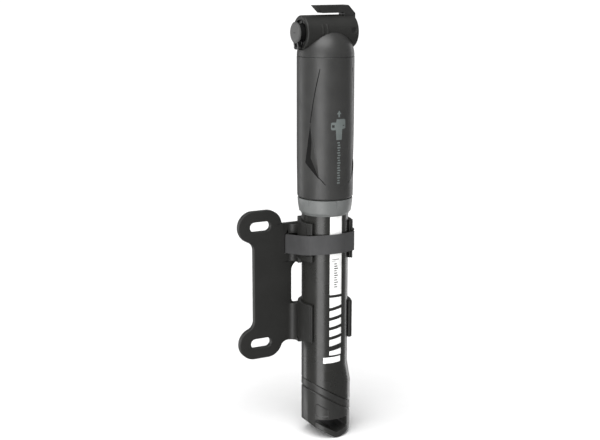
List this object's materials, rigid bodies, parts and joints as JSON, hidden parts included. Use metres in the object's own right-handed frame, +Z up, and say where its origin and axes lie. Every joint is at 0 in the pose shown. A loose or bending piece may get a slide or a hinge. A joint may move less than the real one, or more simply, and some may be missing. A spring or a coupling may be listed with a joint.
{
  "type": "mini pump",
  "caption": "Telescopic bicycle mini pump with a lever-lock valve head, held in a clip bracket with a rubber strap for bottle cage bosses.",
  "frame": {"origin": "midway between the bracket's two mounting slots, on the back face of its plate", "axes": "+X from the slots towards the pump and along the head tube to the lever, +Y out of the plate's back into the bicycle frame, +Z up along the pump to its head"},
  "size_m": [0.0616, 0.0297, 0.23],
  "materials": {
    "bracket_plastic": "fine satin moulded",
    "strap_rubber": "matte",
    "barrel_plastic": "semi-gloss moulded",
    "inner_plastic": "moulded",
    "seal_rubber": "matte",
    "steel": "ground",
    "brass": "turned",
    "grip_plastic": "satin, fine grain",
    "collar_plastic": "satin",
    "head_plastic": "satin",
    "cap_rubber": "matte"
  },
  "bodies": {
    "bracket": {"bracket": "bracket_plastic", "strap": "strap_rubber"},
    "barrel": {"barrel_tube": "barrel_plastic", "foot": "barrel_plastic", "end_plug": "inner_plastic", "end_plug_seal": "seal_rubber", "top_bush": "inner_plastic", "top_buffer": "seal_rubber"},
    "piston": {"piston_head": "inner_plastic", "piston_seal": "seal_rubber"},
    "handle": {"piston_rod": "steel", "rod_nut": "brass", "valve_spring": "steel", "grip_sleeve": "grip_plastic", "collar_ring": "collar_plastic", "wiper_seal": "seal_rubber", "head_cap": "grip_plastic", "head_nut": "brass", "cap_seal": "seal_rubber", "head_tube": "head_plastic", "lever_pin": "steel", "valve_gasket": "seal_rubber", "port_nut": "inner_plastic"},
    "check_ball": {"check_ball": "steel"},
    "lever": {"lock_lever": "head_plastic"},
    "plunger": {"clamp_plunger": "brass", "plunger_seal": "seal_rubber"},
    "dust_cap": {"dust_cap": "cap_rubber"}
  },
  "joints": [
    {"name": "pump_turn", "type": "hinge", "parent": "bracket", "child": "barrel", "pos_m": [0.032, -0.01465, 0], "axis": [0, 0, 1], "continuous": true},
    {"name": "pump_stroke", "type": "slide", "parent": "barrel", "child": "piston", "axis": [0, 0, 1], "range_m": [0, 0.0545]},
    {"name": "handle_turn", "type": "hinge", "parent": "piston", "child": "handle", "pos_m": [0.032, -0.01465, 0], "axis": [0, 0, 1], "continuous": true},
    {"name": "check_ball_lift", "type": "slide", "parent": "handle", "child": "check_ball", "axis": [0, 0, 1], "range_m": [0, 0.0008], "stiffness_N_per_m": 20, "springref_m": -0.002, "deforming": ["valve_spring"]},
    {"name": "lever_flip", "type": "hinge", "parent": "handle", "child": "lever", "pos_m": [0.0439, -0.01465, 0.1342], "axis": [0, 1, 0], "range_deg": [0, 90]},
    {"name": "plunger_push", "type": "slide", "parent": "handle", "child": "plunger", "axis": [-1, 0, 0], "range_m": [0, 0.0015]},
    {"name": "dust_cap_swing", "type": "hinge", "parent": "handle", "child": "dust_cap", "pos_m": [0.01605, -0.01465, 0.1257], "axis": [0, -1, 0], "range_deg": [0, 110]}
  ],
  "couplings": [
    {"joint": "plunger_push", "follows": "lever_flip", "m_per_rad": 0.000954}
  ]
}
